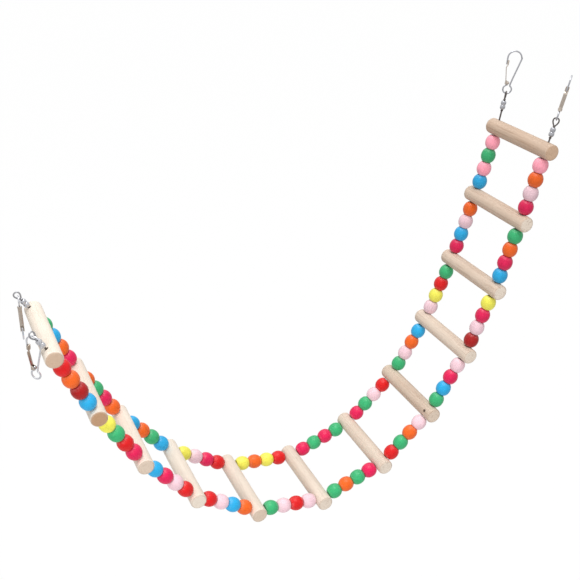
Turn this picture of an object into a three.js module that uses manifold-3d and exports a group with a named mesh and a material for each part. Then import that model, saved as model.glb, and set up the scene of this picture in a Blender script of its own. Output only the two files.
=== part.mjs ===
// A hanging bird ladder: wooden rungs strung on two steel side wires, with four wooden beads on each wire
// between every two rungs, and a snap hook on a barrel swivel at each of the four wire ends.
// Millimetres, +Z up. X runs along the ladder with the upper end at the right, Y along the rungs.
// The origin is the centre of the first rung, at the upper end.
import * as THREE from 'three';
import { mergeVertices } from 'three/addons/utils/BufferGeometryUtils.js';
import Module from 'manifold-3d';

const wasm = await Module();
wasm.setup();

// Rungs
const rungCount = 12;
const rungDiameter = 12.5;
const rungLength = 78;
const rungEndRound = 1.3;
const rungSides = 16;

// Side wires
const wireInset = 8;
const wireSpacing = rungLength - 2 * wireInset;
const wireDiameter = 1.3;
const wireBendRadius = 8;
const wireSides = 5;
const wireHeadDiameter = 2.2;
const wireHeadLength = 0.8;
const wireWrapDiameter = 2.1;
const wireWrapLength = 1.5;
const wireWrapTaper = 0.5;

// Beads
const beadsPerGap = 4;
const beadDiameter = 12;
const beadLength = 11.25;
const beadFaceDiameter = 6.4;
const beadShoulder = 2.3;
const beadShoulderDiameter = 10.4;
const beadSides = 9;
const beadBoreDiameter = 2.4;

// Clearances
const seatGap = 0.25;
const holeGap = 0.3;
const linkGap = 0.25;
const hangGap = 0.6;

// The hang of the ladder: the slope of the gaps runs from -endSlope to +endSlope as a smooth step
const endSlope = 74;
const slopeSpread = 2.7;
const lowestGap = 6.1;

// How far each gap can bend against the last, either way from straight, and how far a stem bends in an end rung
const bendLimit = 28;
const stemBend = 8;

// Barrels of the swivels
const barrelDiameter = 4.2;
const barrelWaistDiameter = 3.2;
const barrelEndDiameter = 2.6;
const barrelLength = 7;
const barrelWall = 0.3;
const barrelLip = 0.8;
const barrelSides = 7;

// Rings
const ringLength = 7.9;
const ringWidth = 5.4;
const ringWire = 1.1;
const ringShank = 1.1;
const ringHeadDiameter = 2;
const ringHeadLength = 0.8;
const ringCollarDiameter = 2.1;
const ringCollarLength = 1.1;
const ringOpening = 0.35;
const ringSteps = 13;

// Snap hooks
const hookLength = 34.5;
const hookWire = 1.2;
const hookBowWidth = 12;
const hookLoopWidth = 7.9;
const hookWaistWidth = 4.3;
const hookWaistHeight = 1.5;
const hookNoseLength = 5.4;
const hookNoseInset = 0.4;
const hookBowEnd = -8;
const hookBowStations = 9;
const hookLoopEnd = 40;
const hookLoopStations = 11;
const hookEyeDiameter = 2.6;
const hookEyeBore = 1.5;
const hookEyeThickness = 1.2;
const linkSides = 5;

// Gates
const gateSheet = 0.4;
const gateWidth = 2.8;
const gatePin = 0.9;
const gateOverlap = 3;
const gateStep = 1.4;
const gateSlack = 0.1;

// Reach of a gate's cheeks past its pin
const gateCheekReach = 0.9;

// How finely shapes are joined and seats are looked for
const mergeReach = 1e-4;
const seekStep = 0.05;
const seekTurn = 0.02;
const leastLeg = 0.01;

const deg = Math.PI / 180;
const Y = new THREE.Vector3(0, 1, 0);

const wood = new THREE.MeshStandardMaterial({ color: 0xf0dfc8, roughness: 0.7 });
const darkSteel = new THREE.MeshStandardMaterial({ color: 0x5b5654, roughness: 0.4, metalness: 1 });
const brightSteel = new THREE.MeshStandardMaterial({ color: 0xc9cbcf, roughness: 0.25, metalness: 1 });
const sheetSteel = new THREE.MeshStandardMaterial({ color: 0xbdb2a8, roughness: 0.35, metalness: 1 });

const ladder = new THREE.Group();

// One string of beads is a single piece here, so it has the colour of its first bead
const beadColours = {
  blue: 0x4bafdc, green: 0x55b47d, yellow: 0xfaf67a, orange: 0xf17640,
  red: 0xdc3434, darkred: 0xaf2d2b, magenta: 0xe63e69, pink: 0xf6cad6,
};
const firstBeads = {
  near: ['pink', 'green', 'yellow', 'pink', 'pink', 'magenta', 'pink', 'orange', 'red', 'magenta', 'blue'],
  far: ['pink', 'orange', 'green', 'blue', 'red', 'green', 'red', 'red', 'blue', 'orange', 'magenta'],
};

// Solids from three.js shapes, joined and cut
function solid(geometry) {
  const bare = geometry.clone();
  bare.deleteAttribute('normal');
  bare.deleteAttribute('uv');
  const merged = mergeVertices(bare, mergeReach);
  return new wasm.Manifold(new wasm.Mesh({
    numProp: 3,
    vertProperties: new Float32Array(merged.attributes.position.array),
    triVerts: new Uint32Array(merged.index.array),
  }));
}

function geometryOf(manifold) {
  const mesh = manifold.getMesh();
  const geometry = new THREE.BufferGeometry();
  geometry.setAttribute('position', new THREE.BufferAttribute(mesh.vertProperties, 3));
  geometry.setIndex(new THREE.BufferAttribute(mesh.triVerts, 1));
  geometry.computeVertexNormals();
  return geometry;
}

function addPiece(name, geometry, material, parent) {
  const mesh = new THREE.Mesh(geometry, material);
  mesh.name = name;
  parent.add(mesh);
  return mesh;
}

function revolve(profile, sides) {
  return new THREE.LatheGeometry(profile.map(([r, h]) => new THREE.Vector2(r, h)), sides);
}

// A bent wire: round sections set square to the route at each of its stations
class Route extends THREE.Curve {
  constructor(stations) {
    super();
    this.stations = stations;
  }

  getPoint(t, target = new THREE.Vector3()) {
    const along = t * (this.stations.length - 1);
    const before = Math.min(Math.floor(along), this.stations.length - 2);
    return target.lerpVectors(this.stations[before], this.stations[before + 1], along - before);
  }

  getPointAt(u, target) {
    return this.getPoint(u, target);
  }

  getTangentAt(u, target = new THREE.Vector3()) {
    const last = this.stations.length - 1;
    const at = Math.round(u * last);
    const into = this.stations[at].clone().sub(this.stations[Math.max(at - 1, 0)]).normalize();
    const out = this.stations[Math.min(at + 1, last)].clone().sub(this.stations[at]).normalize();
    return target.copy(into.add(out).normalize());
  }
}

function bentWire(stations, diameter, sides) {
  const section = [];
  for (let i = 0; i < sides; i += 1) {
    const turn = 2 * Math.PI * i / sides;
    section.push(new THREE.Vector2(Math.cos(turn), Math.sin(turn)).multiplyScalar(diameter / 2));
  }
  return new THREE.ExtrudeGeometry(new THREE.Shape(section), {
    steps: stations.length - 1,
    bevelEnabled: false,
    extrudePath: new Route(stations),
  });
}

// The hang: slope of each gap, direction of each gap and centre of each rung
const pitch = rungDiameter + beadsPerGap * beadLength + 2 * seatGap;
const gapCount = rungCount - 1;
const slopes = [];
const rungCentres = [new THREE.Vector3()];
for (let gap = 1; gap <= gapCount; gap += 1) {
  slopes.push(endSlope * deg * Math.tanh((gap - 0.5 - lowestGap) / slopeSpread));
  const step = directionOf(slopes[gap - 1]).multiplyScalar(pitch);
  rungCentres.push(rungCentres[gap - 1].clone().add(step));
}

function directionOf(slope) {
  return new THREE.Vector3(-Math.cos(slope), 0, Math.sin(slope));
}

// The four wire ends. The stem stands out of the end rung at its own slope. A right hook stands in line with
// its stem, turned about it. A left hook hangs by its bow or its loop, faces its own way, and leans and swings.
const wireEnds = {
  near_right: { side: -1, end: 'right', stem: 4.5, slope: slopes[0], turn: -43 },
  far_right: { side: 1, end: 'right', stem: 9, slope: -77 * deg, turn: -120 },
  near_left: { side: -1, end: 'left', stem: 2, slope: 61 * deg, hangsBy: 'bow', facing: 316, lean: 0, swing: 8 },
  far_left: { side: 1, end: 'left', stem: 1, slope: 61 * deg, hangsBy: 'loop', facing: 84, lean: 4, swing: 0 },
};

function outwardAt(end) {
  return directionOf(end.slope).multiplyScalar(end.end === 'right' ? -1 : 1);
}

function rungHole(centre, end) {
  return centre.clone().setY(end.side * wireSpacing / 2);
}

// Rungs: a turned dowel with two holes that widen to both sides, so that the wire can bend inside
const rungRadius = rungDiameter / 2;
const holeSides = 6;
const facetReach = 1 / Math.cos(Math.PI / holeSides);

function rungGeometry(bend) {
  const half = rungLength / 2;
  const offCorner = wireBendRadius * (1 / Math.cos(bend / 2 * deg) - 1);
  const throat = (offCorner + wireDiameter / 2 + holeGap) * facetReach;
  const mouth = (rungRadius * Math.tan(bend / 2 * deg) + wireDiameter / 2 + holeGap) * facetReach;
  const dowel = solid(revolve([
    [0, -half],
    [rungRadius - rungEndRound, -half],
    [rungRadius, rungEndRound - half],
    [rungRadius, half - rungEndRound],
    [rungRadius - rungEndRound, half],
    [0, half],
  ], rungSides));
  const reach = rungRadius + holeGap;
  const outer = throat + (mouth - throat) * reach / rungRadius;
  const hole = revolve([[0, -reach], [outer, -reach], [throat, 0], [outer, reach], [0, reach]], holeSides);
  hole.rotateX(Math.PI / 2);
  const near = solid(hole.clone().translate(0, -wireSpacing / 2, 0));
  const far = solid(hole.clone().translate(0, wireSpacing / 2, 0));
  return geometryOf(dowel.subtract(near).subtract(far));
}

const number = (n) => String(n).padStart(2, '0');
const endDowel = rungGeometry(stemBend);
const middleDowel = rungGeometry(bendLimit);
for (let k = 1; k <= rungCount; k += 1) {
  const before = k > 1 ? slopes[k - 2] : wireEnds.near_right.slope;
  const after = k < rungCount ? slopes[k - 1] : wireEnds.near_left.slope;
  const holeSlope = (before + after) / 2;
  const dowel = k === 1 || k === rungCount ? endDowel : middleDowel;
  const rung = addPiece(`rung_${number(k)}`, dowel, wood, ladder);
  rung.position.copy(rungCentres[k - 1]);
  rung.rotation.y = Math.atan2(-Math.cos(holeSlope), Math.sin(holeSlope));
}

// Bead strings: the four beads of one side of a gap, standing face to face
const beadString = revolve(beadProfile(), beadSides);

function beadProfile() {
  const length = beadsPerGap * beadLength;
  const face = beadFaceDiameter / 2;
  const shoulder = beadShoulderDiameter / 2;
  const profile = [[face, -length / 2]];
  for (let bead = 0; bead < beadsPerGap; bead += 1) {
    const start = bead * beadLength - length / 2;
    profile.push([shoulder, start + beadShoulder]);
    profile.push([beadDiameter / 2, start + beadLength / 2]);
    profile.push([shoulder, start + beadLength - beadShoulder]);
    profile.push([face, start + beadLength]);
  }
  profile.push([beadBoreDiameter / 2, length / 2]);
  profile.push([beadBoreDiameter / 2, -length / 2]);
  profile.push(profile[0]);
  return profile;
}

for (const side of ['near', 'far']) {
  for (let gap = 1; gap <= gapCount; gap += 1) {
    const first = firstBeads[side][(gap - 1) % firstBeads[side].length];
    const paint = new THREE.MeshStandardMaterial({ color: beadColours[first], roughness: 0.35 });
    const beads = addPiece(`beads_${side}_${number(gap)}`, beadString, paint, ladder);
    beads.position.copy(rungCentres[gap - 1]).add(rungCentres[gap]).multiplyScalar(0.5);
    beads.position.y = (side === 'near' ? -1 : 1) * wireSpacing / 2;
    beads.quaternion.setFromUnitVectors(Y, directionOf(slopes[gap - 1]));
  }
}

// Side wires: straight in each gap and stem, bent inside each rung, headed inside the barrels
function barrelStart(end) {
  return rungRadius + end.stem;
}

const barrelChamber = barrelLip + barrelWall;

function wireTip(centre, end) {
  const reach = barrelStart(end) + barrelChamber + wireHeadLength;
  return rungHole(centre, end).addScaledVector(outwardAt(end), reach);
}

function bendStations(corner, into, out) {
  const half = into.angleTo(out) / 2;
  const legs = wireBendRadius * Math.tan(half);
  if (legs < leastLeg) {
    return [corner];
  }
  const inward = out.clone().sub(into).normalize();
  const middle = corner.clone().addScaledVector(inward, wireBendRadius * (1 / Math.cos(half) - 1));
  return [corner.clone().addScaledVector(into, -legs), middle, corner.clone().addScaledVector(out, legs)];
}

function wireGeometry(right, left) {
  const first = rungCentres[0];
  const last = rungCentres[rungCount - 1];
  const stations = [wireTip(first, right)];
  for (let k = 0; k < rungCount; k += 1) {
    const into = k > 0 ? directionOf(slopes[k - 1]) : outwardAt(right).negate();
    const out = k < gapCount ? directionOf(slopes[k]) : outwardAt(left);
    stations.push(...bendStations(rungHole(rungCentres[k], right), into, out));
  }
  stations.push(wireTip(last, left));
  let wire = solid(bentWire(stations, wireDiameter, wireSides));
  for (const [centre, end] of [[first, right], [last, left]]) {
    const base = rungHole(centre, end);
    const turn = new THREE.Quaternion().setFromUnitVectors(Y, outwardAt(end));
    const wrapEnd = barrelStart(end) - seatGap;
    const head = revolve([
      [0, barrelStart(end) + barrelChamber],
      [wireHeadDiameter / 2, barrelStart(end) + barrelChamber],
      [wireHeadDiameter / 2, barrelStart(end) + barrelChamber + wireHeadLength],
      [0, barrelStart(end) + barrelChamber + wireHeadLength],
    ], barrelSides);
    const wrap = revolve([
      [0, wrapEnd - wireWrapLength],
      [wireDiameter / 2, wrapEnd - wireWrapLength],
      [wireWrapDiameter / 2, wrapEnd - wireWrapLength + wireWrapTaper],
      [wireWrapDiameter / 2, wrapEnd - wireWrapTaper],
      [wireDiameter / 2, wrapEnd],
      [0, wrapEnd],
    ], barrelSides);
    for (const collar of end.stem > 2 * wireWrapLength ? [head, wrap] : [head]) {
      collar.applyQuaternion(turn).translate(base.x, base.y, base.z);
      wire = wire.add(solid(collar));
    }
  }
  return geometryOf(wire);
}

addPiece('side_wire_near', wireGeometry(wireEnds.near_right, wireEnds.near_left), darkSteel, ladder);
addPiece('side_wire_far', wireGeometry(wireEnds.far_right, wireEnds.far_left), darkSteel, ladder);

// Barrel of a swivel, along Y from its lower mouth: two lobes, each with a chamber for one head
function barrelGeometry() {
  const lobe = barrelDiameter / 2;
  const facet = 1 / Math.cos(Math.PI / barrelSides);
  const lower = (wireHeadDiameter / 2 + holeGap) * facet;
  const upper = (ringHeadDiameter / 2 + holeGap) * facet;
  const lowerMouth = (wireDiameter / 2 + holeGap) * facet;
  const upperMouth = (ringShank / 2 + holeGap) * facet;
  const middle = barrelLength / 2;
  const neck = barrelWaistDiameter / 2 - barrelWall;
  const profile = [
    [barrelEndDiameter / 2, 0],
    [lobe, barrelLip],
    [lobe, middle - barrelLip],
    [barrelWaistDiameter / 2, middle],
    [lobe, middle + barrelLip],
    [lobe, barrelLength - barrelLip],
    [barrelEndDiameter / 2, barrelLength],
    [upperMouth, barrelLength],
    [upperMouth, barrelLength - barrelLip],
    [upper, barrelLength - barrelLip - barrelWall],
    [upper, middle + barrelLip],
    [neck, middle],
    [lower, middle - barrelLip],
    [lower, barrelLip + barrelWall],
    [lowerMouth, barrelLip],
    [lowerMouth, 0],
  ];
  profile.push(profile[0]);
  return revolve(profile, barrelSides);
}

// Pear-shaped ring, in the XY plane with its neck at the origin and its shank down the -Y side. Its half width is
// pearWidth times the sine of a turn and of half that turn, a product that is pearWidest at most.
const pearFoot = seatGap + ringWire / 2;
const pearLength = ringLength - ringWire / 2 - pearFoot;
const pearWidest = 0.7698;
const pearWidth = (ringWidth - ringWire) / 2 / pearWidest;

function pearPoint(turn) {
  const height = pearFoot + pearLength * (1 - Math.cos(turn)) / 2;
  return new THREE.Vector3(pearWidth * Math.sin(turn) * Math.sin(turn / 2), height, 0);
}

function ringGeometry() {
  const stations = [];
  for (let i = 0; i < ringSteps; i += 1) {
    stations.push(pearPoint(ringOpening + 2 * (Math.PI - ringOpening) * i / (ringSteps - 1)));
  }
  const headBottom = -barrelLip - barrelWall - holeGap - ringHeadLength;
  const shank = revolve([
    [0, headBottom],
    [ringHeadDiameter / 2, headBottom],
    [ringHeadDiameter / 2, headBottom + ringHeadLength],
    [ringShank / 2, headBottom + ringHeadLength],
    [ringShank / 2, seatGap],
    [ringCollarDiameter / 2, seatGap],
    [ringCollarDiameter / 2, seatGap + ringCollarLength],
    [0, seatGap + ringCollarLength],
  ], barrelSides);
  return geometryOf(solid(bentWire(stations, ringWire, linkSides)).add(solid(shank)));
}

// Snap hook, in the XY plane: the small loop's centre at the origin, the bow up the +Y side, the gate at -X
const loopRadius = (hookLoopWidth - hookWire) / 2;
const bowRadius = (hookBowWidth - hookWire) / 2;
const bowHeight = hookLength - hookWire - loopRadius - bowRadius;
const waistRight = (hookWaistWidth - hookWire) / 2;
const eyeX = -(hookWaistWidth - hookEyeDiameter) / 2;
const eyeY = loopRadius + hookWaistHeight;
const noseX = hookNoseInset - bowRadius;
const noseY = bowHeight - hookNoseLength;

function arcStations(centreX, centreY, radius, from, to, count) {
  const stations = [];
  for (let i = 0; i < count; i += 1) {
    const turn = (from + (to - from) * i / (count - 1)) * deg;
    stations.push(new THREE.Vector3(centreX + radius * Math.cos(turn), centreY + radius * Math.sin(turn), 0));
  }
  return stations;
}

function hookGeometry() {
  const stations = [
    new THREE.Vector3(noseX, noseY, 0),
    ...arcStations(0, bowHeight, bowRadius, 180, hookBowEnd, hookBowStations),
    new THREE.Vector3(waistRight, eyeY, 0),
    ...arcStations(0, 0, loopRadius, hookLoopEnd, -180 - hookLoopEnd, hookLoopStations),
    new THREE.Vector3(eyeX, eyeY - (hookEyeDiameter + hookEyeBore) / 4, 0),
  ];
  const half = hookEyeThickness / 2;
  const eye = revolve([
    [hookEyeDiameter / 2, -half],
    [hookEyeDiameter / 2, half],
    [hookEyeBore / 2, half],
    [hookEyeBore / 2, -half],
    [hookEyeDiameter / 2, -half],
  ], holeSides);
  eye.rotateX(Math.PI / 2).translate(eyeX, eyeY, 0);
  const bore = revolve([
    [0, -half * 2],
    [hookEyeBore / 2, -half * 2],
    [hookEyeBore / 2, half * 2],
    [0, half * 2],
  ], holeSides);
  bore.rotateX(Math.PI / 2).translate(eyeX, eyeY, 0);
  return geometryOf(solid(bentWire(stations, hookWire, linkSides)).subtract(solid(bore)).add(solid(eye)));
}

// Gate: a sheet tongue from a forked foot on the eye to the inner side of the nose, with a lip on each side of it
function sheetStrip(points, width) {
  const outline = new THREE.Shape(points.map(([x, y]) => new THREE.Vector2(x, y)));
  const strip = new THREE.ExtrudeGeometry(outline, { depth: width, bevelEnabled: false });
  return strip.translate(0, 0, -width / 2);
}

function gateGeometry() {
  const footX = eyeX - hookEyeDiameter / 2 - linkGap - gateSheet;
  const footTop = eyeY + hookEyeDiameter / 2 + holeGap;
  const innerX = noseX + hookWire / 2 + linkGap + gateSlack;
  const bendY = noseY - hookWire / 2 - holeGap - gateStep;
  const tongue = solid(sheetStrip([
    [footX, footTop],
    [noseX, bendY],
    [innerX, bendY + gateStep],
    [innerX, noseY + gateOverlap],
    [innerX + gateSheet, noseY + gateOverlap],
    [innerX + gateSheet, bendY + gateStep - gateSheet / 2],
    [noseX + gateSheet, bendY - gateSheet / 2],
    [footX + gateSheet, footTop - gateSheet],
    [footX + gateSheet, eyeY - hookEyeDiameter / 2],
    [footX, eyeY - hookEyeDiameter / 2],
  ], gateWidth));
  const cheek = [
    [footX, eyeY - hookEyeDiameter / 2],
    [footX, footTop + gateSheet],
    [eyeX + gateCheekReach, eyeY + gateCheekReach],
    [eyeX + gateCheekReach, eyeY - gateCheekReach],
  ];
  const lip = [
    [noseX, noseY],
    [innerX, noseY - gateSheet],
    [innerX + gateSheet, noseY],
    [innerX + gateSheet, noseY + gateOverlap],
    [noseX, noseY + gateOverlap],
  ];
  let gate = tongue;
  for (const side of [-1, 1]) {
    const z = side * (gateWidth - gateSheet) / 2;
    gate = gate.add(solid(sheetStrip(cheek, gateSheet).translate(0, 0, z)));
    gate = gate.add(solid(sheetStrip(lip, gateSheet).translate(0, 0, z)));
  }
  const pin = revolve([
    [0, gateSheet / 2 - gateWidth / 2],
    [gatePin / 2, gateSheet / 2 - gateWidth / 2],
    [gatePin / 2, gateWidth / 2 - gateSheet / 2],
    [0, gateWidth / 2 - gateSheet / 2],
  ], holeSides);
  pin.rotateX(Math.PI / 2).translate(eyeX, eyeY, 0);
  return geometryOf(gate.add(solid(pin)));
}

// Where the hook's wire runs through the ring, measured from the ring's neck
const linkReach = (ringWire + hookWire) / 2 + linkGap;
const tipSeat = seatFrom(pearFoot + pearLength, -seekStep);
const neckSeat = seatFrom(pearFoot, seekStep) + hangGap;

function seatFrom(start, step) {
  const seat = new THREE.Vector3(0, start, 0);
  let nearest = 0;
  while (nearest < linkReach) {
    seat.y += step;
    nearest = Infinity;
    for (let turn = 0; turn <= Math.PI; turn += seekTurn) {
      nearest = Math.min(nearest, pearPoint(turn).distanceTo(seat));
    }
  }
  return seat.y;
}

const barrel = barrelGeometry();
const ring = ringGeometry();
const hook = hookGeometry();
const gate = gateGeometry();

function frameOf(x, y) {
  return new THREE.Quaternion().setFromRotationMatrix(
    new THREE.Matrix4().makeBasis(x, y, x.clone().cross(y)),
  );
}

function addSnap(name, end) {
  const centre = rungCentres[end.end === 'right' ? 0 : rungCount - 1];
  const outward = outwardAt(end);
  const barrelAt = rungHole(centre, end).addScaledVector(outward, barrelStart(end));
  const neck = barrelAt.clone().addScaledVector(outward, barrelLength);

  const shell = addPiece(`barrel_${name}`, barrel, brightSteel, ladder);
  shell.position.copy(barrelAt);
  shell.quaternion.setFromUnitVectors(Y, outward);

  // The hook's long axis and its width; the ring stands across the hook's width
  let seat = neck.clone().addScaledVector(outward, tipSeat);
  let seatOnHook = new THREE.Vector3(0, -loopRadius, 0);
  let width = Y.clone();
  let along = outward.clone();
  if (end.end === 'right') {
    width.applyAxisAngle(outward, end.turn * deg);
  } else {
    seat = neck.clone().addScaledVector(outward, neckSeat);
    width.set(Math.cos(end.facing * deg), Math.sin(end.facing * deg), 0);
    along.set(0, 0, -1).applyAxisAngle(width, end.lean * deg);
    const normal = width.clone().cross(along);
    width.applyAxisAngle(normal, end.swing * deg);
    along.applyAxisAngle(normal, end.swing * deg);
    if (end.hangsBy === 'bow') {
      along.negate();
      seatOnHook = new THREE.Vector3(0, bowHeight + bowRadius, 0);
    }
  }
  const ringWidthWay = outward.clone().cross(width).normalize();
  const ringPiece = addPiece(`ring_${name}`, ring, darkSteel, ladder);
  ringPiece.position.copy(neck);
  ringPiece.quaternion.copy(frameOf(ringWidthWay, outward));

  const snap = new THREE.Group();
  snap.quaternion.copy(frameOf(width, along));
  snap.position.copy(seat).sub(seatOnHook.applyQuaternion(snap.quaternion));
  addPiece(`hook_${name}`, hook, brightSteel, snap);
  addPiece(`gate_${name}`, gate, sheetSteel, snap);
  ladder.add(snap);
}

for (const [name, end] of Object.entries(wireEnds)) {
  addSnap(name, end);
}

export default ladder;
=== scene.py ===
"""A hanging bird ladder: wooden rungs and painted wooden beads on two steel wires, with a snap hook on a
barrel swivel at each wire end. Shapes are worked out in millimetres and put into the meshes in metres."""

import math
from types import SimpleNamespace

import bmesh
import bpy
import numpy as np
from bpy.props import FloatProperty, FloatVectorProperty, PointerProperty
from mathutils import Matrix, Vector


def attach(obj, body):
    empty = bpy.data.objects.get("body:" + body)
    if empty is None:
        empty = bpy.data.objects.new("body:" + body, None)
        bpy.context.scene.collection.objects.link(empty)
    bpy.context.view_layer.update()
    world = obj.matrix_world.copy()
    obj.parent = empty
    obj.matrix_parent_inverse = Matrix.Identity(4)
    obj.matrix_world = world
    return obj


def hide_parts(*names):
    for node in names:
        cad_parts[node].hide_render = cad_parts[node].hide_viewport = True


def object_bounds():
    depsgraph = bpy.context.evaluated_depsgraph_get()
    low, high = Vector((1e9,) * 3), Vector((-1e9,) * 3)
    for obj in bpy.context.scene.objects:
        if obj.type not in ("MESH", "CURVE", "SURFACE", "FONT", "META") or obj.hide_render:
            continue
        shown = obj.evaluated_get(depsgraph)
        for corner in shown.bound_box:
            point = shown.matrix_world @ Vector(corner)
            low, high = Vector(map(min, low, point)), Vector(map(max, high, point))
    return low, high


bl_info = {
    "name": "Bird ladder",
    "version": (1, 0, 0),
    "blender": (4, 5, 0),
    "location": "View3D > Sidebar > Ladder",
    "description": "Builds a hanging bird ladder of turned rungs, painted beads, wires and snap hooks",
    "category": "Add Mesh",
}

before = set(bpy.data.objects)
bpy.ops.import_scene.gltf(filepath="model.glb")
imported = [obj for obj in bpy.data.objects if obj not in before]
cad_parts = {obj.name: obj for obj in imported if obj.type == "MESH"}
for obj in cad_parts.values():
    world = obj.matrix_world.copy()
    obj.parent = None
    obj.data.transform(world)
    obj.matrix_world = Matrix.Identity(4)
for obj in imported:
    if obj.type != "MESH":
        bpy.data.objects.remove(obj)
CAD_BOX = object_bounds()

MM = 0.001

Y_AXIS = np.array([0.0, 1.0, 0.0])
Z_AXIS = np.array([0.0, 0.0, 1.0])

# The hang of the ladder, as the frame has it
RUNG_COUNT = 12
GAP_COUNT = RUNG_COUNT - 1
BEADS_PER_GAP = 4
WIRE_SPACING = 62.0
SEAT_GAP = 0.25
HOLE_GAP = 0.3
END_SLOPE = math.radians(74)
SLOPE_SPREAD = 2.7
LOWEST_GAP = 6.1
SIDES = {"near": -1, "far": 1}

# The four wire ends: side, stem length, slope in degrees, and how the hook is turned or hangs there
WIRE_ENDS = {
    "near_right": {"side": "near", "stem": 4.5, "turn": -43},
    "far_right": {"side": "far", "stem": 9.0, "slope": -77, "turn": -120},
    "near_left": {
        "side": "near", "stem": 2.0, "slope": 61, "hangs_by": "bow", "facing": 316, "lean": 0, "swing": 8,
    },
    "far_left": {
        "side": "far", "stem": 1.0, "slope": 61, "hangs_by": "loop", "facing": 84, "lean": 4, "swing": 0,
    },
}

# Paint of each bead from the upper rung to the lower one, gap by gap from the upper end
BEAD_PAINTS = {
    "near": "deep_pink orange pink magenta, green orange magenta blue, yellow magenta pink dark_red, "
    "pink magenta blue green, pink orange green red, magenta green orange green, "
    "pink red pink green, orange blue pink red, red pink magenta blue, "
    "magenta red green yellow, blue dark_red orange red",
    "far": "deep_pink green deep_pink blue, orange pink blue magenta, green red yellow pink, "
    "blue orange pink green, red pink green magenta, green magenta green magenta, "
    "red yellow orange yellow, red magenta pink yellow, blue green orange blue, "
    "orange magenta green orange, magenta orange blue green",
}

# How far each rung's wood is from pale cream (0) to tan (1): its own tone, and painted shade that makes the
# rungs darker towards the upper end
RUNG_TONES_AND_SHADE = [0.95, 0.8, 0.7, 0.55, 0.72, 0.48, 0.34, 0.22, 0.14, 0.1, 0.18, 0.06]

# How brown each rung's sawn ends are
END_TONES = [0.75, 0.15, 0.1, 0.15, 0.35, 0.1, 0.15, 0.4, 0.05, 0.35, 0.95, 0.65]

# The knot in the fifth rung, in the rung's own frame, and its radius
KNOT_RUNG = 5
KNOT_PLACE = (6.2, -32.2, 1.0)
KNOT_RADIUS = 1.7

# How far the grain of each rung is moved on from the rung before
RUNG_SHIFT = np.array([37.0, 11.0, 23.0])

# The camera: its place in metres, and the picture's right and down
CAMERA_PLACE = (-0.4356, -0.5610, 0.2478)
CAMERA_RIGHT = (0.9120, -0.4074, -0.0484)
CAMERA_DOWN = (-0.2333, -0.4180, -0.8780)
FOCAL_PIXELS = 920
FRAME_PIXELS = 580
SENSOR = 36.0


def linear(red, green, blue):
    """A screen colour, 0 to 255, as the linear colour that a shader takes."""
    value = np.array([red, green, blue]) / 255
    return tuple(np.where(value <= 0.04045, value / 12.92, ((value + 0.055) / 1.055) ** 2.4))


def length(value, description):
    """A size in millimetres, as a property that holds metres."""
    return FloatProperty(
        name=description, description=description, default=value * MM, min=0.0, precision=5, unit="LENGTH"
    )


def colour(red, green, blue, description):
    return FloatVectorProperty(
        name=description, description=description, default=linear(red, green, blue), subtype="COLOR",
        min=0.0, max=1.0,
    )


class LadderSizes(bpy.types.PropertyGroup):
    """Sizes of the ladder's pieces."""

    rung_diameter: length(12.5, "Thickness of a rung")
    rung_length: length(78.0, "Length of a rung")
    rung_round: length(1.5, "Rounding of a rung's sawn ends")
    hole_mouth: length(2.55, "Radius of a rung's hole at the surface")
    hole_throat: length(1.2, "Radius of a rung's hole at its middle")
    end_hole_mouth: length(1.3, "Radius of an end rung's hole at the surface")
    end_hole_throat: length(0.95, "Radius of an end rung's hole at its middle")
    bead_diameter: length(12.0, "Thickness of a bead at its crown")
    bead_length: length(11.25, "Length of a bead along the wire")
    bead_face: length(6.4, "Diameter of a bead's flat face")
    bead_bore: length(2.4, "Diameter of a bead's bore")
    wire_diameter: length(1.3, "Thickness of the side wires")
    barrel_diameter: length(4.2, "Thickness of a swivel's barrel")
    barrel_length: length(7.0, "Length of a swivel's barrel")
    ring_wire: length(1.1, "Thickness of a ring's wire")
    hook_wire: length(1.2, "Thickness of a hook's wire")
    gate_width: length(2.8, "Width of a gate's tongue")
    gate_sheet: length(0.4, "Thickness of a gate's sheet")


class LadderColours(bpy.types.PropertyGroup):
    """Colours of the ladder's finishes."""

    pale_wood: colour(244, 232, 217, "Cream of the palest rungs")
    # Tan also carries painted shade: rungs nearer the upper end are mixed closer to it
    tan_wood: colour(192, 166, 144, "Tan of the darkest rungs")
    end_grain: colour(192, 150, 112, "Sawn ends of the rungs")
    wood_grain: colour(150, 116, 90, "Streaks of the grain")
    blue: colour(40, 178, 236, "Blue paint")
    green: colour(58, 184, 118, "Green paint")
    yellow: colour(254, 248, 96, "Yellow paint")
    orange: colour(250, 106, 26, "Orange paint")
    red: colour(228, 16, 20, "Red paint")
    dark_red: colour(176, 14, 14, "Dark red paint")
    magenta: colour(234, 22, 88, "Magenta paint")
    deep_pink: colour(248, 160, 178, "Deeper pink paint")
    pink: colour(252, 214, 224, "Pink paint")
    dark_steel: colour(104, 98, 96, "Side wires and rings")
    bright_steel: colour(178, 179, 184, "Barrels and hooks")
    # A lighter copy of bright steel: painted light for the hooks and barrels at the left end
    polished_steel: colour(232, 233, 238, "The lighter finish of the left hooks")
    sheet_steel: colour(196, 184, 172, "Gates")


# Shader values and nodes


def operation(name, swapped=False):
    """A method that adds a Math node of that operation, with the other value first where swapped."""

    def method(self, other):
        return self.shader.math(name, *((other, self) if swapped else (self, other)))

    return method


class Value:
    """A number in a shader. Python's operators on it add Math nodes."""

    def __init__(self, shader, socket):
        self.shader = shader
        self.socket = socket

    __add__ = __radd__ = operation("ADD")
    __mul__ = __rmul__ = operation("MULTIPLY")
    __sub__ = operation("SUBTRACT")
    __rsub__ = operation("SUBTRACT", swapped=True)

    def between(self, low, high):
        """0 below low, 1 above high and a smooth step in between."""
        inputs = {"Value": self, "From Min": low, "From Max": high}
        node = self.shader.node("ShaderNodeMapRange", inputs, interpolation_type="SMOOTHSTEP")
        return Value(self.shader, node.outputs["Result"])


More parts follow.
